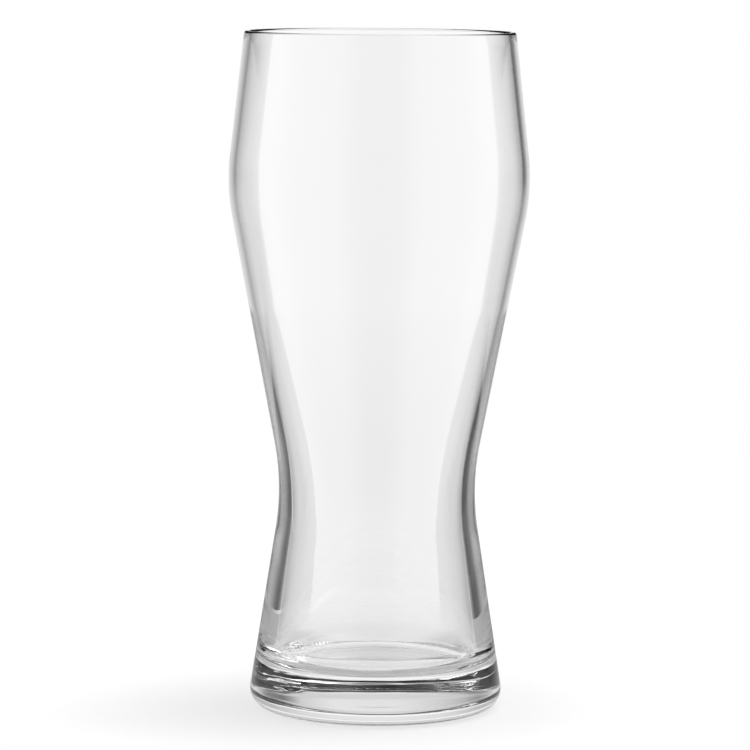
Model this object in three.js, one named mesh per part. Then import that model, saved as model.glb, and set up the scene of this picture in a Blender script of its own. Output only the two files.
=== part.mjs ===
// A half-litre beer glass: a heavy flared foot, a narrow waist, a bowl that widens to a shoulder
// and a rim that draws in again. It is one piece of clear glass, blown in a mould.
// Millimetres, +Z up. The origin is on the axis, in the plane that the foot stands on.

import * as THREE from "three";

// Heights, stacked from the standing plane to the rim.
const WAIST_HEIGHT = 60;
const TAPER_ABOVE_WAIST = 50.5;
const SHOULDER_ABOVE_WAIST = 85.3;
const RIM_ABOVE_SHOULDER = 39.7;

// Outside diameters, each at the widest or narrowest place of its stretch.
const FOOT_DIAMETER = 69;
const WAIST_DIAMETER = 53.8;
const SHOULDER_DIAMETER = 81.8;
const RIM_DIAMETER = 73.8;

// Radii that the outside is rounded to.
const HEEL_ROUND = 5.2;
const WAIST_ROUND = 70;
const SHOULDER_ROUND = 58;

// Thickness of the glass. The wall is even round the bowl and grows from the taper down to the foot.
const LIP_THICKNESS = 2;
const LIP_CROWN_WIDTH = 0.6;
const SHOULDER_WALL = 1.85;
const TAPER_WALL = 1.8;
const WAIST_WALL = 3.5;
const FOOT_WALL = 6.85;
const BASE_THICKNESS = 12;

// Radii that the inside is rounded to, and how far its waist lies below the outside's.
const INNER_SHOULDER_ROUND = 59;
const INNER_TAPER_ROUND = 60;
const INNER_WAIST_ROUND = 82;
const INNER_WAIST_DROP = 3.8;
const FLOOR_CORNER_ROUND = 5;

// The underside: a flat ring that bears on the table, round a shallow hollow.
const BEARING_RING_WIDTH = 3;
const BEARING_EDGE_ROUND = 1;
const PUNT_DEPTH = 2.1;

// Greatest distance between a curve and the flat facets that stand for it.
const FACET_ERROR = 0.04;

const CLEAR_GLASS = new THREE.MeshStandardMaterial({
  name: "clear_glass",
  color: 0xeef2f0,
  roughness: 0.02,
  metalness: 0,
  transparent: true,
  opacity: 0.35,
});

// Angle of one facet on a circle of this radius.
function facetAngle(radius) {
  return 2 * Math.acos(1 - Math.min(1, FACET_ERROR / radius));
}

// A circle that the outline follows for a while. Its radius is positive where the glass bulges
// out, and negative where it hollows in and the centre lies in the open.
function round(r, z, radius) {
  return { centre: new THREE.Vector2(r, z), radius };
}

// Outward normal of the straight run that touches two rounds, walked with the glass on the left.
function runNormal(from, to) {
  const along = to.centre.clone().sub(from.centre);
  const lean = (from.radius - to.radius) / along.length();
  along.normalize();
  const side = new THREE.Vector2(along.y, -along.x);
  const spread = Math.sqrt(Math.max(0, 1 - lean * lean));
  return along.multiplyScalar(lean).addScaledVector(side, spread);
}

// Points along one round, from where the outline's normal is startNormal to where it is endNormal.
function roundPoints({ centre, radius }, startNormal, endNormal) {
  const start = startNormal.angle();
  const turn = Math.atan2(startNormal.cross(endNormal), startNormal.dot(endNormal));
  const steps = Math.max(1, Math.ceil(Math.abs(turn) / facetAngle(Math.abs(radius))));
  const points = [];
  for (let step = 0; step <= steps; step += 1) {
    const angle = start + (turn * step) / steps;
    const normal = new THREE.Vector2(Math.cos(angle), Math.sin(angle));
    points.push(centre.clone().addScaledVector(normal, radius));
  }
  return points;
}

// The gentle round of the inside at the taper. It touches a line that runs along the outside's
// straight run, from waist to shoulder, a wall's thickness within it.
function taperRound(waist, shoulder) {
  const normal = runNormal(waist, shoulder);
  const along = new THREE.Vector2(-normal.y, normal.x);
  const line = waist.centre.clone().addScaledVector(normal, waist.radius - TAPER_WALL);
  const climb = (WAIST_HEIGHT + TAPER_ABOVE_WAIST - line.y) / along.y;
  const centre = line.addScaledVector(along, climb).addScaledVector(normal, -INNER_TAPER_ROUND);
  return { centre, radius: -INNER_TAPER_ROUND };
}

// The rounds of the glass's half section in order: outwards under the foot, up the outside, over
// the lip, down the inside and back to the axis along the floor. Straight runs join them.
function sectionRounds() {
  const shoulderHeight = WAIST_HEIGHT + SHOULDER_ABOVE_WAIST;
  const height = shoulderHeight + RIM_ABOVE_SHOULDER;
  const footRadius = FOOT_DIAMETER / 2;
  const waistRadius = WAIST_DIAMETER / 2;
  const shoulderRadius = SHOULDER_DIAMETER / 2;
  const rimRadius = RIM_DIAMETER / 2;

  const heelCentre = footRadius - HEEL_ROUND;
  const edgeCentre = heelCentre - BEARING_RING_WIDTH;
  const puntRound = (edgeCentre ** 2 / PUNT_DEPTH + PUNT_DEPTH) / 2 - BEARING_EDGE_ROUND;

  const lipRound = (LIP_THICKNESS - LIP_CROWN_WIDTH) / 2;
  const lipCentreHeight = height - lipRound;

  const innerShoulderRadius = shoulderRadius - SHOULDER_WALL;
  const innerWaistRadius = waistRadius - WAIST_WALL;
  const innerFootRadius = footRadius - FOOT_WALL;

  const waist = round(waistRadius + WAIST_ROUND, WAIST_HEIGHT, -WAIST_ROUND);
  const shoulder = round(shoulderRadius - SHOULDER_ROUND, shoulderHeight, SHOULDER_ROUND);

  return [
    round(0, PUNT_DEPTH - puntRound, -puntRound),
    round(edgeCentre, BEARING_EDGE_ROUND, BEARING_EDGE_ROUND),
    round(heelCentre, HEEL_ROUND, HEEL_ROUND),
    waist,
    shoulder,
    round(rimRadius - lipRound, lipCentreHeight, lipRound),
    round(rimRadius - LIP_THICKNESS + lipRound, lipCentreHeight, lipRound),
    round(innerShoulderRadius - INNER_SHOULDER_ROUND, shoulderHeight, -INNER_SHOULDER_ROUND),
    taperRound(waist, shoulder),
    round(innerWaistRadius + INNER_WAIST_ROUND, WAIST_HEIGHT - INNER_WAIST_DROP, INNER_WAIST_ROUND),
    round(innerFootRadius - FLOOR_CORNER_ROUND, BASE_THICKNESS + FLOOR_CORNER_ROUND, -FLOOR_CORNER_ROUND),
    round(0, BASE_THICKNESS, 0),
  ];
}

// The half section as points from the axis under the foot to the axis on the floor.
function sectionPoints(rounds) {
  const normals = [new THREE.Vector2(0, -1)];
  for (let i = 1; i < rounds.length; i += 1) {
    normals.push(runNormal(rounds[i - 1], rounds[i]));
  }
  const points = [];
  for (let i = 0; i < rounds.length - 1; i += 1) {
    points.push(...roundPoints(rounds[i], normals[i], normals[i + 1]));
  }
  points.push(rounds.at(-1).centre);
  return points;
}

// The whole glass is its half section turned about the axis.
function glassBody() {
  const sides = Math.ceil((2 * Math.PI) / facetAngle(SHOULDER_DIAMETER / 2));
  const geometry = new THREE.LatheGeometry(sectionPoints(sectionRounds()), sides);
  geometry.rotateX(Math.PI / 2);
  const mesh = new THREE.Mesh(geometry, CLEAR_GLASS);
  mesh.name = "glass_body";
  return mesh;
}

const beerGlass = new THREE.Group();
beerGlass.name = "beer_glass";
beerGlass.add(glassBody());

export default beerGlass;
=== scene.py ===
"""The looks of a half-litre beer glass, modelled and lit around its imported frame.

The glass is one piece: its half section is drawn by extrusion, spun about the axis and finished
with the ripples that a mould leaves inside the foot and the knurl that it leaves under it.
"""

import math

import bpy
from bpy.props import FloatProperty, FloatVectorProperty, IntProperty, PointerProperty
from bpy.types import Operator, Panel, PropertyGroup
from mathutils import Matrix, Vector


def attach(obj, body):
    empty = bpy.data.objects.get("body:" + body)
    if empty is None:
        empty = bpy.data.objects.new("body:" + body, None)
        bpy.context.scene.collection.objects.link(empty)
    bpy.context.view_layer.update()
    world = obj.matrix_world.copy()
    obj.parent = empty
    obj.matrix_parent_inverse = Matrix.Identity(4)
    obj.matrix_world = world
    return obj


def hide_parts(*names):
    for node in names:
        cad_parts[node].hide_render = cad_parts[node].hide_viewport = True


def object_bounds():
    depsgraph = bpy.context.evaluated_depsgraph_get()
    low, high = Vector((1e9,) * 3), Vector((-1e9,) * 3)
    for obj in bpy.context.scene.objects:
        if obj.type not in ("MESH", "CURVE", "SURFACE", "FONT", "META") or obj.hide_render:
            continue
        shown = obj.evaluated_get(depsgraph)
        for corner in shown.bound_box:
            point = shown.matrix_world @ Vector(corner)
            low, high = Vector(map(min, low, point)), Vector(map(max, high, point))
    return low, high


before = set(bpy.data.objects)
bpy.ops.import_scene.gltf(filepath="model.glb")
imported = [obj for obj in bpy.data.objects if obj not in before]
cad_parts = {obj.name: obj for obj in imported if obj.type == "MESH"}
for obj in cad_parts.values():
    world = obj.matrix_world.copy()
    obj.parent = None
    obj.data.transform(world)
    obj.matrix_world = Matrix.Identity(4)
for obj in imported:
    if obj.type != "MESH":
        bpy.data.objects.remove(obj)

bl_info = {
    "name": "Beer Glass",
    "version": (1, 0, 0),
    "blender": (4, 5, 0),
    "location": "View3D > Sidebar > Beer Glass",
    "description": "Models a half-litre beer glass, and the table and light that it is shown in",
    "category": "Object",
}

CAD_LOW, CAD_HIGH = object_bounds()


# Sizes and colours

def length(name, description, default):
    """A length in metres that a user may change."""
    return FloatProperty(name=name, description=description, default=default, unit="LENGTH", precision=5)


class GlassSizes(PropertyGroup):
    """Sizes of the glass, in metres."""

    height: length("Height", "From the table to the top of the lip", CAD_HIGH.z)
    shoulder_height: length("Shoulder height", "Where the bowl is widest", 0.1453)
    taper_height: length("Taper height", "Where the wall starts to thicken downwards", 0.1105)
    waist_height: length("Waist height", "Where the outside is narrowest", 0.060)

    rim_diameter: length("Rim diameter", "Outside, at the lip", 0.0738)
    shoulder_diameter: length("Shoulder diameter", "Outside, at its widest", CAD_HIGH.x - CAD_LOW.x)
    waist_diameter: length("Waist diameter", "Outside, at its narrowest", 0.0538)
    foot_diameter: length("Foot diameter", "Outside, above the heel", 0.069)

    shoulder_round: length("Shoulder round", "Radius of the outside at the shoulder", 0.058)
    waist_round: length("Waist round", "Radius of the outside at the waist", 0.070)
    heel_round: length("Heel round", "Radius where the side turns under", 0.0052)

    lip_thickness: length("Lip thickness", "Across the lip", 0.002)
    lip_crown: length("Lip crown", "Width of the flat on top of the lip", 0.0006)
    shoulder_wall: length("Shoulder wall", "Thickness of the wall at the shoulder", 0.00185)
    taper_wall: length("Taper wall", "Thickness of the wall where it starts to thicken", 0.0018)
    waist_wall: length("Waist wall", "Thickness of the wall at the waist", 0.0035)
    foot_wall: length("Foot wall", "Thickness of the wall at the foot", 0.00685)
    base_thickness: length("Base thickness", "From the table to the floor inside", 0.012)

    inner_shoulder_round: length("Inner shoulder round", "Radius of the inside at the shoulder", 0.059)
    inner_taper_round: length("Inner taper round", "Radius of the inside at the taper", 0.060)
    inner_waist_round: length("Inner waist round", "Radius of the inside at the waist", 0.082)
    inner_waist_drop: length("Inner waist drop", "How far the inside's waist lies below", 0.0038)
    floor_corner: length("Floor corner", "Radius between the floor and the wall inside", 0.005)

    bearing_width: length("Bearing width", "Width of the flat ring that bears on the table", 0.003)
    bearing_edge: length("Bearing edge", "Radius at the ring's inner edge", 0.001)
    punt_depth: length("Punt depth", "How far the underside is hollowed", 0.0021)

    ripple_height: length("Ripple height", "Height of the rings round the edge of the floor", 0.00003)
    ripple_pitch: length("Ripple pitch", "From one ring to the next", 0.0024)
    hollow_shift: length("Hollow shift", "How far off the axis the hollow under the foot lies", 0.001)
    notch_depth: length("Notch depth", "Depth of the notches in the ring that bears on the table", 0.00002)
    notch_slope: length("Notch slope", "Width of a notch's sloping side", 0.0001)

    facet_error: length("Facet error", "Greatest distance from a curve to its facets", 0.0000025)
    run_step: length("Run step", "Longest facet along a straight run", 0.003)
    floor_step: length("Floor step", "Longest facet along the rippled floor", 0.0005)
    sides: IntProperty(name="Sides", description="Facets round the axis", default=300, min=32)


class GlassFinish(PropertyGroup):
    """Finish of the glass."""

    tint: FloatVectorProperty(
        name="Tint", description="Colour of the clear glass", subtype="COLOR",
        default=(1.0, 1.0, 1.0), min=0, max=1, size=3,
    )
    ior: FloatProperty(name="IOR", description="How strongly the glass bends light", default=1.52)
    wrinkle_height: length("Wrinkle height", "Height of the wrinkles round the foot", 0.00025)
    wrinkle_pitch: length("Wrinkle pitch", "From one wrinkle to the next", 0.003)


class StageLook(PropertyGroup):
    """The table, the room round it and the light."""

    table_colour: FloatVectorProperty(
        name="Table colour", description="Colour of the pale table", subtype="COLOR",
        default=(0.80, 0.79, 0.81), min=0, max=1, size=3,
    )
    room_radius: length("Room radius", "How far away the room's lit wall is", 0.5)
    room_height: length("Room height", "Height of the room's lit wall above the table", 0.21)
    room_depth: length("Room depth", "How far the room's lit wall reaches below the table", 0.45)
    ledge_distance: length("Ledge distance", "How far behind the glass the table's back ledge is", 0.1435)
    ledge_height: length("Ledge height", "Height of the ledge", 0.036)
    ledge_slope: FloatProperty(name="Ledge slope", description="How far the ledge is turned", default=0.035)
    ambient: FloatProperty(name="Ambient", description="Level of the light from all round", default=0.35)
    key_power: FloatProperty(
        name="Key power", description="Power of the soft light overhead", default=1.2, subtype="POWER",
    )
    table_glow: FloatProperty(
        name="Table glow", description="What lifts the lit table to white for the camera", default=0.56,
    )
    base_glow: FloatProperty(
        name="Base glow", description="The same for what is seen through the glass", default=0.5,
    )
    mirror_glow: FloatProperty(
        name="Mirror glow", description="The same for what the glass mirrors", default=0.3,
    )
    # Under the foot this glow is a painted pool of light. It stands in for light that the foot would gather
    # onto the table.
    foot_glow: FloatProperty(
        name="Foot glow", description="The same for what lies under the foot", default=0.65,
    )


# Modelling helpers

def deselect_all():
    """Leaves nothing selected, in object mode."""
    if bpy.context.object and bpy.context.object.mode != "OBJECT":
        bpy.ops.object.mode_set(mode="OBJECT")
    bpy.ops.object.select_all(action="DESELECT")


def run_normal(start, end):
    """Outward normal of the straight run that touches two rounds, walked with the glass on the left."""
    along = Vector((end[0] - start[0], end[1] - start[1]))
    lean = (start[2] - end[2]) / along.length
    along.normalize()
    side = Vector((along.y, -along.x))
    return along * lean + side * math.sqrt(max(0.0, 1.0 - lean * lean))


def round_points(centre_r, centre_z, radius, start_normal, end_normal, error):
    """Points along one round, from where the outline's normal is start_normal to end_normal."""
    start = math.atan2(start_normal.y, start_normal.x)
    turn = -start_normal.angle_signed(end_normal)
    facet = 2 * math.acos(1 - min(1.0, error / abs(radius)))
    steps = max(2, math.ceil(abs(turn) / facet))
    points = []
    for step in range(steps + 1):
        angle = start + turn * step / steps
        points.append(Vector((centre_r + radius * math.cos(angle), centre_z + radius * math.sin(angle))))
    return points


def taper_round(sizes, waist, shoulder):
    """The gentle round of the inside where the wall starts to thicken.

    It touches a line that runs along the outside's straight run, a wall's thickness within it.
    """
    normal = run_normal(waist, shoulder)
    along = Vector((-normal.y, normal.x))
    line = Vector(waist[:2]) + normal * (waist[2] - sizes.taper_wall)
    climb = (sizes.taper_height - line.y) / along.y
    centre = line + along * climb - normal * sizes.inner_taper_round
    return (centre.x, centre.y, -sizes.inner_taper_round)


def section_rounds(sizes):
    """The rounds of the half section as (r, z, radius), negative where the glass hollows in.

    They run outwards under the foot, up the outside, over the lip, down the inside and back to the
    axis along the floor. Straight runs join them.
    """
    foot = sizes.foot_diameter / 2
    waist = sizes.waist_diameter / 2
    shoulder = sizes.shoulder_diameter / 2
    rim = sizes.rim_diameter / 2

    heel_centre = foot - sizes.heel_round
    edge_centre = heel_centre - sizes.bearing_width
    punt_round = (edge_centre ** 2 / sizes.punt_depth + sizes.punt_depth) / 2 - sizes.bearing_edge

    lip_round = (sizes.lip_thickness - sizes.lip_crown) / 2
    lip_height = sizes.height - lip_round
    inner_lip = rim - sizes.lip_thickness + lip_round
    inner_shoulder = shoulder - sizes.shoulder_wall
    inner_waist = waist - sizes.waist_wall
    inner_foot = foot - sizes.foot_wall
    corner_height = sizes.base_thickness + sizes.floor_corner

    outer_waist = (waist + sizes.waist_round, sizes.waist_height, -sizes.waist_round)
    outer_shoulder = (shoulder - sizes.shoulder_round, sizes.shoulder_height, sizes.shoulder_round)

    return [
        (0.0, sizes.punt_depth - punt_round, -punt_round),
        (edge_centre, sizes.bearing_edge, sizes.bearing_edge),
        (heel_centre, sizes.heel_round, sizes.heel_round),
        outer_waist,
        outer_shoulder,
        (rim - lip_round, lip_height, lip_round),
        (inner_lip, lip_height, lip_round),
        (inner_shoulder - sizes.inner_shoulder_round, sizes.shoulder_height, -sizes.inner_shoulder_round),
        taper_round(sizes, outer_waist, outer_shoulder),
        (
            inner_waist + sizes.inner_waist_round,
            sizes.waist_height - sizes.inner_waist_drop,
            sizes.inner_waist_round,
        ),
        (inner_foot - sizes.floor_corner, corner_height, -sizes.floor_corner),
        (0.0, sizes.base_thickness, 0.0),
    ]


def section_points(sizes):
    """The half section as points, from the axis under the foot to the axis on the floor."""
    rounds = section_rounds(sizes)
    normals = [Vector((0.0, -1.0))]
    for start, end in zip(rounds, rounds[1:]):
        normals.append(run_normal(start, end))
    corners = []
    for (r, z, radius), start_normal, end_normal in zip(rounds, normals, normals[1:]):
        corners += round_points(r, z, radius, start_normal, end_normal, sizes.facet_error)
    corners.append(Vector(rounds[-1][:2]))

    points = [corners[0]]
    for corner in corners[1:]:
        gap = corner - points[-1]
        if gap.length < sizes.facet_error:
            continue
        start = points[-1]
        inside = start.y >= sizes.base_thickness - sizes.facet_error and start.x > corner.x
        low = max(start.y, corner.y) < sizes.base_thickness + sizes.floor_corner
        step = sizes.floor_step if inside and low else sizes.run_step
        parts = max(1, math.ceil(gap.length / step - sizes.facet_error / step))
        points += [start + gap * (part + 1) / parts for part in range(parts)]
    points[0].x = 0.0
    return points


def draw_section(name, points):
    """A new object with the section as a chain of edges in the XZ plane, left in edit mode."""
    deselect_all()
    bpy.ops.mesh.primitive_plane_add(size=2 * points[-1].y)
    piece = bpy.context.object
    piece.name = piece.data.name = name
    bpy.ops.object.mode_set(mode="EDIT")
    bpy.ops.mesh.merge(type="CENTER")
    bpy.ops.transform.translate(value=(points[0].x, 0, points[0].y))
    for start, end in zip(points, points[1:]):
        step = (end.x - start.x, 0, end.y - start.y)
        bpy.ops.mesh.extrude_region_move(TRANSFORM_OT_translate={"value": step})
    return piece


def spin_section(sides):
    """Turns the drawn section about the Z axis, closes its seam and poles, and points its faces out."""
    weld = 1e-6
    bpy.ops.mesh.select_all(action="SELECT")
    bpy.ops.mesh.spin(steps=sides, angle=math.tau, center=(0, 0, 0), axis=(0, 0, 1))
    bpy.ops.mesh.select_all(action="SELECT")
    bpy.ops.mesh.remove_doubles(threshold=weld)
    bpy.ops.mesh.normals_make_consistent(inside=False)
    bpy.ops.object.mode_set(mode="OBJECT")


# How far the rings on the floor reach up the wall and in from it, in radii of the floor's corner.
RIPPLE_RISE = 3
RIPPLE_WIDTH = 2.5
# How the rings wander from true circles: waves round the floor, their size and where they start.
RIPPLE_WANDER = [(1, 0.6, 0.7), (2, 0.4, 2.1)]
FACES_UP = 0.02


def ripple_floor(piece, sizes):
    """Raises faint rings round the edge of the floor inside, strongest in front and none at the back."""
    corner = sizes.floor_corner
    top = sizes.base_thickness + RIPPLE_RISE * corner
    reach = sizes.foot_diameter / 2 - sizes.foot_wall
    middle = reach - RIPPLE_WIDTH * corner
    group = piece.vertex_groups.new(name="ripples")
    for vertex in piece.data.vertices:
        x, y, z = vertex.co
        radius = math.hypot(x, y)
        inside = sizes.base_thickness / 2 <= z <= top and middle < radius < reach
        if vertex.normal.z < FACES_UP or not inside:
            continue
        azimuth = math.atan2(x, y)
        wander = sum(size * math.sin(waves * azimuth + start) for waves, size, start in RIPPLE_WANDER)
        along = radius + max(0.0, z - sizes.base_thickness)
        wave = 0.5 + 0.5 * math.sin(math.tau * along / sizes.ripple_pitch + wander)
        fade = min(1.0, (top - z) / (2 * corner)) * min(1.0, (radius - middle) / corner)
        front = 0.5 - 0.5 * math.cos(azimuth)
        group.add([vertex.index], wave * fade * front, "REPLACE")
    ripple = piece.modifiers.new("ripples", "DISPLACE")
    ripple.vertex_group = group.name
    ripple.strength = sizes.ripple_height
    ripple.mid_level = 0
    bpy.ops.object.modifier_apply(modifier=ripple.name)
    bpy.ops.object.vertex_group_remove(all=True)


def shift_hollow(piece, sizes):
    """Moves the hollow under the foot a little to the right, within the ring that bears on the table."""
    inside = sizes.foot_diameter / 2 - sizes.heel_round - sizes.bearing_width / 2
    bpy.ops.object.mode_set(mode="EDIT")
    bpy.ops.mesh.select_mode(type="VERT")
    bpy.ops.mesh.select_all(action="DESELECT")
    bpy.ops.object.mode_set(mode="OBJECT")
    for vertex in piece.data.vertices:
        x, y, z = vertex.co
        vertex.select = z < sizes.base_thickness / 2 and math.hypot(x, y) < inside
    bpy.ops.object.mode_set(mode="EDIT")
    bpy.ops.transform.translate(value=(sizes.hollow_shift, 0, 0))
    bpy.ops.object.mode_set(mode="OBJECT")


def notch_ring(piece, sizes):
    """Presses a notch into every other facet of the ring that bears on the table."""
    flat = 1e-6
    bpy.ops.object.mode_set(mode="EDIT")
    bpy.ops.mesh.select_mode(type="FACE")
    bpy.ops.mesh.select_all(action="DESELECT")
    bpy.ops.object.mode_set(mode="OBJECT")
    for face in piece.data.polygons:
        x, y, z = face.center
        facet = math.floor(math.atan2(y, x) / math.tau * sizes.sides)
        face.select = z < flat and facet % 2 == 0
    bpy.ops.object.mode_set(mode="EDIT")
    bpy.ops.mesh.inset(thickness=sizes.notch_slope, use_individual=True)
    bpy.ops.transform.translate(value=(0, 0, sizes.notch_depth))
    bpy.ops.object.mode_set(mode="OBJECT")


# Node helpers

class NodeTree:
    """Short ways to add and join the nodes of one tree."""

    def __init__(self, tree):
        self.nodes = tree.nodes
        self.links = tree.links

    def add(self, kind, **settings):
        """A new node with these settings."""
        node = self.nodes.new(kind)
        for name, value in settings.items():
            setattr(node, name, value)
        return node

    def feed(self, node, socket, value):
        """Links an output to a socket, or sets the socket to a plain value."""
        if isinstance(value, bpy.types.NodeSocket):
            self.links.new(value, node.inputs[socket])
        else:
            node.inputs[socket].default_value = value

    def math(self, operation, *values):
        """The result of a Math node."""
        node = self.add("ShaderNodeMath", operation=operation)
        for index, value in enumerate(values):
            self.feed(node, index, value)
        return node.outputs[0]

    def split(self, vector):
        """The X, Y and Z of a vector."""
        node = self.add("ShaderNodeSeparateXYZ")
        self.feed(node, 0, vector)
        return node.outputs

    def azimuth(self, vector):
        """Azimuth of a direction or place in degrees from +Y, positive towards +X."""
        x, y, _ = self.split(vector)
        return self.math("DEGREES", self.math("ARCTAN2", x, y))

    def blend(self, factor, first, second):
        """A number between first and second."""
        node = self.add("ShaderNodeMix", data_type="FLOAT")
        for socket, value in zip(("Factor", "A", "B"), (factor, first, second)):
            self.feed(node, socket, value)
        return node.outputs["Result"]

    def share(self, value, low, high, kind="SMOOTHSTEP"):
        """How far a value has come from low to high, from 0 to 1."""
        node = self.add("ShaderNodeMapRange", interpolation_type=kind)
        for socket, number in zip(("Value", "From Min", "From Max"), (value, low, high)):
            self.feed(node, socket, number)
        return node.outputs["Result"]

    def levels(self, value, stops):
        """The level at a value, from stops of (value, level) in rising order."""
        low, high = stops[0][0], stops[-1][0]
        ramp = self.add("ShaderNodeValToRGB")
        elements = ramp.color_ramp.elements
        elements.remove(elements[-1])
        for index, (place, level) in enumerate(stops):
            position = (place - low) / (high - low)
            element = elements.new(position) if index else elements[0]
            element.position = position
            element.color = (level, level, level, 1)
        self.feed(ramp, "Fac", self.share(value, low, high, "LINEAR"))
        return ramp.outputs["Color"]

    def glow(self, level):
        """A surface that shines at a level by itself."""
        node = self.add("ShaderNodeEmission")
        self.feed(node, "Color", level)
        return node.outputs[0]

    def clear(self):
        """A surface that isn't there."""
        return self.add("ShaderNodeBsdfTransparent").outputs[0]

    def mix(self, factor, first, second):
        """A surface between first and second."""
        node = self.add("ShaderNodeMixShader")
        for index, value in enumerate((factor, first, second)):
            self.feed(node, index, value)
        return node.outputs[0]


def group_level(tree, name, build, **inputs):
    """The level that a shared node group gives for these inputs. The group is built the first time."""
    group = bpy.data.node_groups.get(name)
    if group is None:
        group = bpy.data.node_groups.new(name, "ShaderNodeTree")
        for socket in inputs:
            group.interface.new_socket(socket, in_out="INPUT", socket_type="NodeSocketFloat")
        group.interface.new_socket("Level", in_out="OUTPUT", socket_type="NodeSocketFloat")
        inner = NodeTree(group)
        enter = inner.add("NodeGroupInput")
        leave = inner.add("NodeGroupOutput")
        inner.feed(leave, "Level", build(inner, *enter.outputs[:len(inputs)]))
    node = tree.add("ShaderNodeGroup", node_tree=group)
    for socket, value in inputs.items():
        tree.feed(node, socket, value)
    return node.outputs["Level"]


def new_material(name):
    """An empty material, its node helper and its output node."""
    material = bpy.data.materials.new(name)
    material.use_nodes = True
    material.node_tree.nodes.clear()
    tree = NodeTree(material.node_tree)
    return material, tree, tree.add("ShaderNodeOutputMaterial")


# The glass

# How strong the wrinkles are by azimuth in degrees from +Y, positive towards +X.
WRINKLE_LEVELS = [
    (-180, 0.1), (-150, 0.2), (-120, 1.0), (-65, 1.0), (-40, 0.03), (45, 0.03), (70, 0.3), (110, 0.3),
    (150, 0.1), (180, 0.1),
]
# Waves of the wrinkles round the foot, heights between which they fade up the wall, heights between
# which they gain their strength above the heel, and radii between which they start.
WRINKLE_WAVES = 1.6
WRINKLE_TOP = (0.023, 0.016)
WRINKLE_HEEL = (0.006, 0.010)
WRINKLE_RADII = (0.014, 0.022)
HEEL_STRENGTH = 0.35
SMOOTH_ANGLE = math.radians(30)


def wrinkles(tree, finish):
    """Height of the wrinkles round the foot and how strong they are: most on the left, none in the bowl."""
    place = tree.add("ShaderNodeTexCoord").outputs["Object"]
    x, y, z = tree.split(place)
    radius = tree.math("SQRT", tree.math("MULTIPLY_ADD", x, x, tree.math("MULTIPLY", y, y)))
    along = tree.add("ShaderNodeCombineXYZ")
    tree.feed(along, 0, tree.math("MULTIPLY", tree.math("DIVIDE", x, radius), WRINKLE_WAVES))
    tree.feed(along, 1, tree.math("MULTIPLY", tree.math("DIVIDE", y, radius), WRINKLE_WAVES))
    tree.feed(along, 2, tree.math("DIVIDE", tree.math("ADD", radius, z), finish.wrinkle_pitch))
    noise = tree.add("ShaderNodeTexNoise")
    tree.feed(noise, "Vector", along.outputs[0])
    tree.feed(noise, "Scale", 1.0)
    tree.feed(noise, "Detail", 2.0)

    heel = tree.blend(tree.share(z, *WRINKLE_HEEL), HEEL_STRENGTH, 1.0)
    low = tree.math("MULTIPLY", tree.share(z, *WRINKLE_TOP), heel)
    outer = tree.share(radius, *WRINKLE_RADII)
    side = tree.levels(tree.azimuth(place), WRINKLE_LEVELS)
    strength = tree.math("MULTIPLY", tree.math("MULTIPLY", low, outer), side)
    return noise.outputs["Fac"], strength


def clear_glass(finish):
    """Clear polished glass, a little wrinkled round the foot where it chilled in the mould."""
    material, tree, output = new_material("clear_glass")
    height, strength = wrinkles(tree, finish)
    bump = tree.add("ShaderNodeBump")
    tree.feed(bump, "Height", height)
    tree.feed(bump, "Strength", strength)
    tree.feed(bump, "Distance", finish.wrinkle_height)
    glass = tree.add("ShaderNodeBsdfPrincipled")
    tree.feed(glass, "Base Color", (*finish.tint, 1))
    tree.feed(glass, "Roughness", 0.0)
    tree.feed(glass, "IOR", finish.ior)
    tree.feed(glass, "Transmission Weight", 1.0)
    tree.feed(glass, "Normal", bump.outputs["Normal"])
    tree.feed(output, "Surface", glass.outputs["BSDF"])
    return material


class BEERGLASS_OT_body(Operator):
    """Model the glass: draw its half section, spin it and finish its surface"""

    bl_idname = "beer_glass.body"
    bl_label = "Glass Body"

    def execute(self, context):
        sizes = context.scene.beer_glass_sizes
        body = draw_section("glass", section_points(sizes))
        spin_section(sizes.sides)
        ripple_floor(body, sizes)
        shift_hollow(body, sizes)
        notch_ring(body, sizes)
        bpy.ops.object.shade_smooth_by_angle(angle=SMOOTH_ANGLE)
        body.data.materials.append(clear_glass(context.scene.beer_glass_finish))
        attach(body, "root")
        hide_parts("glass_body")
        return {"FINISHED"}


# The stage

# Levels of the room by azimuth in degrees from the view's direction, positive to the right.
# The backdrop is bright, falls off to a dim gap on each side and is followed by a soft light there.
ROOM_LEVELS = [
    (-180, 0.20), (-165, 0.24), (-146, 0.48), (-106, 0.66), (-75, 0.95), (-60, 0.80), (-47, 0.50),
    (-38, 0.36), (-27, 0.58), (-17, 0.76), (0, 0.83), (17, 0.76), (27, 0.50), (38, 0.24),
    (47, 0.42), (60, 0.80), (75, 0.95), (106, 0.60), (146, 0.46), (165, 0.24), (180, 0.20),
]
# The upper part of the room's wall as the underside mirrors it, in the same way.
UPPER_LEVELS = [
    (-180, 0.20), (-165, 0.24), (-146, 0.48), (-106, 0.66), (-75, 0.95), (-60, 0.75), (-50, 0.28),
    (-40, 0.20), (-34, 0.30), (-29, 0.46), (-22, 0.58), (-15, 0.68), (-5, 0.80), (11, 0.80), (17, 0.70),
    (22, 0.62), (24, 0.48), (27, 0.30), (31, 0.12), (45, 0.12), (60, 0.75), (75, 0.95), (106, 0.60),
    (146, 0.46), (165, 0.24), (180, 0.20),
]
# What lies above the room's wall, in the same way: dark in front, where the lip mirrors it.
TOP_LEVELS = [
    (-180, 0.20), (-165, 0.24), (-146, 0.48), (-106, 0.66), (-75, 0.95), (-64, 0.75), (-50, 0.03),
    (50, 0.03), (64, 0.75), (75, 0.95), (106, 0.60), (146, 0.46), (165, 0.24), (180, 0.20),
]
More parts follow.
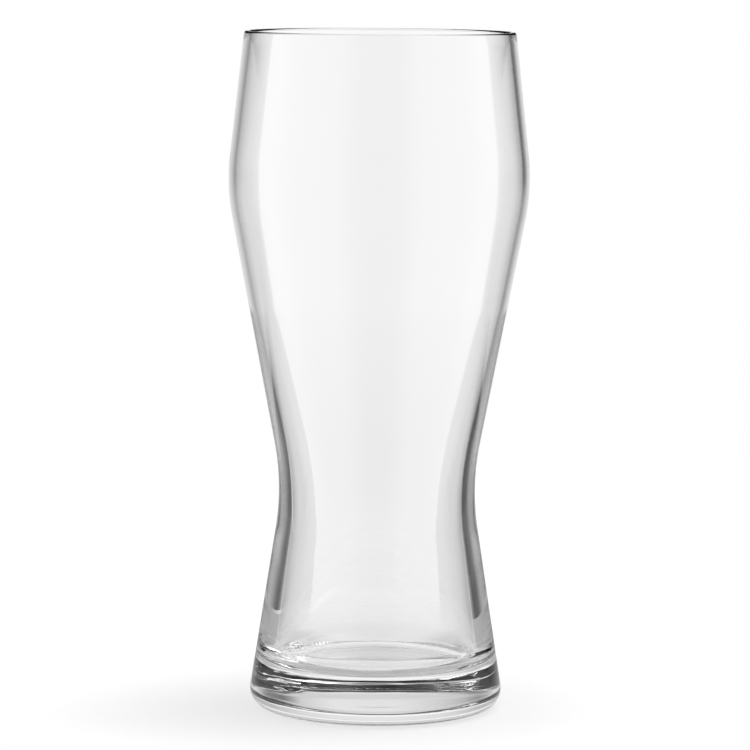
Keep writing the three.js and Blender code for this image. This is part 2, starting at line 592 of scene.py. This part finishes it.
# The table as the glass mirrors it, in the same way.
TABLE_LEVELS = [
    (-180, 0.20), (-165, 0.24), (-146, 0.48), (-106, 0.66), (-75, 0.95), (-68, 0.86), (-63, 0.66),
    (-58, 0.40), (-50, 0.38), (0, 0.50), (50, 0.38), (58, 0.40), (63, 0.68), (75, 0.95), (106, 0.60),
    (146, 0.46), (165, 0.24), (180, 0.20),
]
# The low ledge along the table's back edge, in the same way: dark on each side of the backdrop.
LEDGE_LEVELS = [
    (-180, 0.20), (-165, 0.24), (-146, 0.48), (-106, 0.66), (-78, 0.95), (-66, 0.70), (-57, 0.33),
    (-52, 0.06), (-47, 0.05), (-42, 0.17), (-35, 0.38), (-24, 0.58), (0, 0.70), (22, 0.60), (33, 0.42),
    (43, 0.05), (52, 0.01), (57, 0.25), (66, 0.70), (78, 0.95), (106, 0.60), (146, 0.46), (165, 0.24),
    (180, 0.20),
]
# What shows straight through both walls, by the angle to the nearest of four white sheets. Narrower
# sheets stand half-way between them.
SHEET_LEVELS = [
    (0, 1.0), (9.4, 1.0), (9.8, 0.84), (12.5, 0.82), (14.5, 0.76), (17, 0.70), (21, 0.62), (27, 0.42),
    (31, 0.34), (38, 0.34), (39, 0.84), (39.5, 1.0), (45, 1.0),
]
SHEET_TURN = 0.15
# How much dimmer the sheets are further down, by height.
SHEET_FADE = [(-0.15, 0.94), (-0.01, 0.945), (0.06, 1.0), (0.21, 1.0)]
# What shows straight through the foot, by azimuth.
FOOT_LEVELS = [
    (-180, 0.5), (-40, 0.5), (-30, 0.63), (-20, 0.74), (-10, 0.79), (0, 0.80),
    (10, 0.79), (20, 0.74), (30, 0.63), (40, 0.5), (180, 0.5),
]
# How bright the table is that shows straight through the wall, by the angle to either side.
TABLE_LEVELS_THROUGH = [(0, 1.0), (18, 0.95), (28, 0.55), (45, 0.45), (60, 0.45), (75, 1.0), (180, 1.0)]
# How far the table has faded into the room, by distance: for what shows through, and for what is mirrored.
TABLE_FADE_THROUGH = [(0, 0), (0.09, 0), (0.17, 1), (0.5, 1)]
TABLE_FADE_MIRRORED = [(0, 0), (0.05, 0), (0.15, 1), (0.5, 1)]
TABLE_FRONT_FADE = [(0, 0), (0.045, 0), (0.11, 1), (0.5, 1)]
# The light high above, by azimuth: a soft light on the right and a gleam at the back.
OVERHEAD_LEVELS = [
    (-180, 0.20), (-110, 0.45), (-95, 0.30), (-70, 0.12), (-32, 0.12), (-20, 0.75), (0, 0.75),
    (24, 0.90), (30, 0.35), (45, 0.35), (60, 1.20), (85, 2.00), (130, 2.00), (142, 0.50), (160, 0.30),
    (180, 0.20),
]
# A painted glint on the right: a bright patch of the world that lights nothing and shows only in light the
# glass has mirrored several times, so it paints white glints inside the glass. Its azimuth and half its
# width in degrees, its place and half its height by the direction's rise, its level, and how often the
# glass has to mirror it before it shows.
GLINT_AZIMUTH = (56, 10)
GLINT_RISE = (0.5, 0.2)
GLINT_LEVEL = 6.0
GLINT_TURNS = 2.5
# Light that the glass has mirrored more often than this is trapped, and dimmed to this level.
TRAPPED_TURNS = 10.5
TRAPPED_LEVEL = 0.05
# Light that has passed more surfaces than this has passed more than one wall.
ONE_WALL = 2.5
# Heights of the room's wall between which its upper part starts, and distances from the table's height
# between which the far wall alone shows white.
UPPER_WALL = (0.09, 0.12)
FAR_WALL_WHITE = (0.06, 0.10)
# How steeply a direction rises where the light overhead starts.
OVERHEAD_RISE = (0.57, 0.74)
# Distances from the axis between which the camera's glow on the table rises to white, and by how much:
# nearer the foot the glow is lower, which paints a shade round the glass on top of its real shadow. Then
# the distances between which the table under the foot ends, with the painted pool of light that it has for
# what shows through the glass.
FOOT_SHADE_REACH = (0.028, 0.10)
FOOT_SHADE_DEPTH = 0.14
UNDER_FOOT = (0.032, 0.045)
# Where the ledge's soft top starts, as a share of its height.
LEDGE_SOFT_TOP = 0.7
ROOM_SIDES = 128
BOUNCES = 32


def mirrored(tree, path):
    """1 for light that the glass has mirrored on its way to the camera."""
    return tree.math("GREATER_THAN", path.outputs["Glossy Depth"], 0.5)


def dim_trapped(tree, level, turns):
    """Nodes of the group that dims light which the foot has trapped for many turns."""
    trapped = tree.math("GREATER_THAN", turns, TRAPPED_TURNS)
    return tree.math("MULTIPLY", level, tree.blend(trapped, 1.0, TRAPPED_LEVEL))


def kept(tree, path, level):
    """What is left of a level after the light's turns in the glass."""
    turns = path.outputs["Glossy Depth"]
    return group_level(tree, "trapped_light", dim_trapped, Source=level, Turns=turns)


def table_material(look):
    """A pale table that keeps the glass's shadow. Painted shade darkens it further round the foot for the
    camera, and a painted pool of light brightens it under the foot for what shows through the glass. It
    fades into the room.
    """
    material, tree, output = new_material("table")
    path = tree.add("ShaderNodeLightPath")
    place = tree.add("ShaderNodeTexCoord").outputs["Object"]

    paint = tree.add("ShaderNodeBsdfDiffuse")
    tree.feed(paint, "Color", (*look.table_colour, 1))
    indirect = tree.math("MAXIMUM", path.outputs["Is Transmission Ray"], path.outputs["Is Glossy Ray"])
    reach = tree.add("ShaderNodeVectorMath", operation="LENGTH")
    tree.feed(reach, 0, place)
    distance = reach.outputs["Value"]
    # The camera's glow is lower near the foot: painted shade round the glass.
    white = tree.math("MULTIPLY_ADD", tree.share(distance, *FOOT_SHADE_REACH), FOOT_SHADE_DEPTH, look.table_glow)
    seen = tree.math("MULTIPLY", path.outputs["Is Camera Ray"], white)
    azimuth = tree.azimuth(place)
    behind = tree.levels(tree.math("ABSOLUTE", azimuth), TABLE_LEVELS_THROUGH)
    behind = tree.math("MULTIPLY", behind, look.base_glow)
    # Painted pool of light under the foot, for what shows through the glass.
    under = tree.blend(tree.share(distance, *UNDER_FOOT), look.foot_glow, behind)
    under = kept(tree, path, tree.blend(mirrored(tree, path), under, look.mirror_glow))
    near = tree.add("ShaderNodeAddShader")
    tree.feed(near, 0, paint.outputs[0])
    tree.feed(near, 1, tree.glow(tree.math("MULTIPLY_ADD", indirect, under, seen)))

    _, y, _ = tree.split(place)
    beyond = tree.math("GREATER_THAN", y, look.ledge_distance)
    level = tree.blend(beyond, tree.levels(azimuth, TABLE_LEVELS), tree.levels(azimuth, ROOM_LEVELS))
    far = tree.mix(mirrored(tree, path), tree.clear(), tree.glow(kept(tree, path, level)))

    front = tree.levels(tree.math("MULTIPLY", y, -1.0), TABLE_FRONT_FADE)
    fade = tree.blend(
        mirrored(tree, path),
        tree.levels(distance, TABLE_FADE_THROUGH),
        tree.math("MAXIMUM", front, tree.levels(distance, TABLE_FADE_MIRRORED)),
    )
    surface = tree.mix(tree.math("MULTIPLY", fade, indirect), near.outputs[0], far)
    tree.feed(output, "Surface", surface)
    return material


def light_sheets(tree, azimuth):
    """Nodes of the group that lights the white sheets by azimuth."""
    turn = tree.math("WRAP", tree.math("ADD", azimuth, SHEET_TURN), 45.0, -45.0)
    return tree.levels(tree.math("ABSOLUTE", turn), SHEET_LEVELS)


def sheet_levels(tree, azimuth):
    """Levels of the white sheets that show straight through both walls."""
    return group_level(tree, "white_sheets", light_sheets, Azimuth=azimuth)


def straight_through(tree, path, azimuth, height, sheets):
    """What shows straight through the glass: the sheets through both walls, less through the foot.

    Over the near lip and through the far wall alone it is white.
    """
    walls = tree.math("GREATER_THAN", path.outputs["Transmission Depth"], ONE_WALL)
    away = tree.share(tree.math("ABSOLUTE", height), *FAR_WALL_WHITE)
    single = tree.blend(away, tree.levels(azimuth, FOOT_LEVELS), 1.0)
    return tree.blend(walls, single, sheets)


def wall_material():
    """The room's lit wall, which only the glass sees."""
    material, tree, output = new_material("room_wall")
    path = tree.add("ShaderNodeLightPath")
    place = tree.add("ShaderNodeTexCoord").outputs["Object"]
    _, _, height = tree.split(place)
    azimuth = tree.azimuth(place)
    sheets = tree.math("MULTIPLY", sheet_levels(tree, azimuth), tree.levels(height, SHEET_FADE))
    through = straight_through(tree, path, azimuth, height, sheets)
    inside = tree.math("GREATER_THAN", path.outputs["Transmission Depth"], 0.5)
    upper = tree.math("MULTIPLY", tree.share(height, *UPPER_WALL), inside)
    room = tree.blend(upper, tree.levels(azimuth, ROOM_LEVELS), tree.levels(azimuth, UPPER_LEVELS))
    level = tree.blend(mirrored(tree, path), through, kept(tree, path, room))
    tree.feed(output, "Surface", tree.glow(level))
    return material


def ledge_material(look):
    """The dim ledge behind the table, which only what the glass mirrors shows. Its top is soft."""
    material, tree, output = new_material("ledge")
    path = tree.add("ShaderNodeLightPath")
    place = tree.add("ShaderNodeNewGeometry").outputs["Position"]
    _, _, height = tree.split(place)
    level = kept(tree, path, tree.levels(tree.azimuth(place), LEDGE_LEVELS))
    low = tree.share(height, look.ledge_height, LEDGE_SOFT_TOP * look.ledge_height)
    seen = tree.math("MULTIPLY", mirrored(tree, path), low)
    tree.feed(output, "Surface", tree.mix(seen, tree.clear(), tree.glow(level)))
    return material


def add_table(look):
    """The table top, a hair below the foot."""
    gap = 0.0001
    deselect_all()
    bpy.ops.mesh.primitive_circle_add(vertices=ROOM_SIDES, radius=look.room_radius, fill_type="NGON")
    table = bpy.context.object
    table.name = table.data.name = "table"
    table.location.z = -gap
    table.data.materials.append(table_material(look))


def add_wall(look):
    """The room's wall, an open ring that reaches below the table, for what shows through its far part."""
    deselect_all()
    bpy.ops.mesh.primitive_cylinder_add(
        vertices=ROOM_SIDES, radius=look.room_radius, depth=2, end_fill_type="NOTHING",
    )
    wall = bpy.context.object
    wall.name = wall.data.name = "room_wall"
    bpy.ops.object.mode_set(mode="EDIT")
    bpy.ops.mesh.select_all(action="SELECT")
    bpy.ops.transform.resize(value=(1, 1, (look.room_height + look.room_depth) / 2))
    bpy.ops.transform.translate(value=(0, 0, (look.room_height - look.room_depth) / 2))
    bpy.ops.object.mode_set(mode="OBJECT")
    wall.visible_camera = wall.visible_diffuse = wall.visible_shadow = False
    wall.data.materials.append(wall_material())


def add_ledge(look):
    """The ledge along the table's back edge."""
    turn = (math.pi / 2, 0, -math.atan(look.ledge_slope))
    deselect_all()
    place = (0, look.ledge_distance, 0)
    bpy.ops.mesh.primitive_plane_add(size=2 * look.ledge_height, rotation=turn, location=place)
    ledge = bpy.context.object
    ledge.name = ledge.data.name = "ledge"
    ledge.scale.x = look.room_radius / look.ledge_height
    ledge.visible_camera = ledge.visible_diffuse = ledge.visible_shadow = False
    ledge.data.materials.append(ledge_material(look))


def add_world(look):
    """White for the camera, bright panels straight through the glass, and a dark top with a painted glint
    in it.
    """
    world = bpy.data.worlds.new("studio")
    world.use_nodes = True
    bpy.context.scene.world = world
    tree = NodeTree(world.node_tree)
    path = tree.add("ShaderNodeLightPath")
    direction = tree.add("ShaderNodeTexCoord").outputs["Generated"]
    _, _, rise = tree.split(direction)

    azimuth = tree.azimuth(direction)
    through = straight_through(tree, path, azimuth, rise, sheet_levels(tree, azimuth))
    overhead = tree.levels(azimuth, OVERHEAD_LEVELS)
    top = tree.blend(tree.share(rise, *OVERHEAD_RISE), tree.levels(azimuth, TOP_LEVELS), overhead)
    # Painted glint: a bright patch that shows only in light the glass has mirrored three times or more.
    lamp_and_glint = tree.math(
        "MULTIPLY",
        tree.math("COMPARE", azimuth, *GLINT_AZIMUTH),
        tree.math("COMPARE", rise, *GLINT_RISE),
    )
    lamp_and_glint = tree.math("MULTIPLY", lamp_and_glint, tree.math("GREATER_THAN", path.outputs["Glossy Depth"], GLINT_TURNS))
    top = tree.math("MULTIPLY_ADD", lamp_and_glint, GLINT_LEVEL, top)
    level = tree.blend(mirrored(tree, path), through, kept(tree, path, top))
    level = tree.blend(path.outputs["Is Diffuse Ray"], level, look.ambient)
    level = tree.blend(path.outputs["Is Camera Ray"], level, 1.0)
    tree.feed(world.node_tree.nodes["Background"], "Color", level)


def add_key_light(look):
    """A soft light overhead, to the right."""
    place = Vector((0.35, 0.1, 0.85))
    width = 0.5
    light = bpy.data.lights.new("key", "AREA")
    light.shape = "DISK"
    light.size = width
    light.energy = look.key_power
    lamp_and_glint = bpy.data.objects.new("key", light)
    lamp_and_glint.matrix_world = Matrix.Translation(place) @ (-place).to_track_quat("-Z", "Y").to_matrix().to_4x4()
    lamp_and_glint.visible_camera = lamp_and_glint.visible_glossy = lamp_and_glint.visible_transmission = False
    bpy.context.scene.collection.objects.link(lamp_and_glint)


def add_camera():
    """The camera at the photograph's viewing angle."""
    distance = 1.0799
    height = 0.21217
    down = math.radians(6.381)
    roll = math.radians(0.437)
    offset_px = 2.783
    frame_px = 750
    data = bpy.data.cameras.new("camera")
    data.sensor_width = 36
    data.lens = 190.9
    data.shift_x = -offset_px / frame_px
    camera = bpy.data.objects.new("camera", data)
    turn = Matrix.Rotation(math.pi / 2 - down, 4, "X") @ Matrix.Rotation(roll, 4, "Z")
    camera.matrix_world = Matrix.Translation((0, -distance, height)) @ turn
    bpy.context.scene.collection.objects.link(camera)
    bpy.context.scene.camera = camera


class BEERGLASS_OT_stage(Operator):
    """Set the stage: table, surround, light and camera"""

    bl_idname = "beer_glass.stage"
    bl_label = "Stage"

    def execute(self, context):
        look = context.scene.beer_glass_stage
        add_table(look)
        add_wall(look)
        add_ledge(look)
        add_world(look)
        add_key_light(look)
        add_camera()
        scene = context.scene
        scene.view_settings.view_transform = "Standard"
        scene.cycles.max_bounces = BOUNCES
        scene.cycles.transmission_bounces = BOUNCES
        scene.cycles.glossy_bounces = BOUNCES
        return {"FINISHED"}


class BEERGLASS_PT_panel(Panel):
    """Lists the glass's operators and values"""

    bl_idname = "BEERGLASS_PT_panel"
    bl_label = "Beer Glass"
    bl_space_type = "VIEW_3D"
    bl_region_type = "UI"
    bl_category = "Beer Glass"

    def draw(self, context):
        scene = context.scene
        for operator in OPERATORS:
            self.layout.operator(operator.bl_idname)
        for group in (scene.beer_glass_sizes, scene.beer_glass_finish, scene.beer_glass_stage):
            box = self.layout.box()
            for name in group.bl_rna.properties.keys():
                if name not in {"rna_type", "name"}:
                    box.prop(group, name)


OPERATORS = (BEERGLASS_OT_body, BEERGLASS_OT_stage)
GROUPS = {
    "beer_glass_sizes": GlassSizes,
    "beer_glass_finish": GlassFinish,
    "beer_glass_stage": StageLook,
}


def register():
    """Adds the classes and the values to Blender."""
    for name, group in GROUPS.items():
        bpy.utils.register_class(group)
        setattr(bpy.types.Scene, name, PointerProperty(type=group))
    for cls in (*OPERATORS, BEERGLASS_PT_panel):
        bpy.utils.register_class(cls)


def unregister():
    """Takes the classes and the values out of Blender again."""
    for cls in (BEERGLASS_PT_panel, *reversed(OPERATORS)):
        bpy.utils.unregister_class(cls)
    for name, group in GROUPS.items():
        delattr(bpy.types.Scene, name)
        bpy.utils.unregister_class(group)


def main():
    """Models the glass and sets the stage."""
    register()
    bpy.ops.beer_glass.body()
    bpy.ops.beer_glass.stage()


if __name__ == "__main__":
    main()
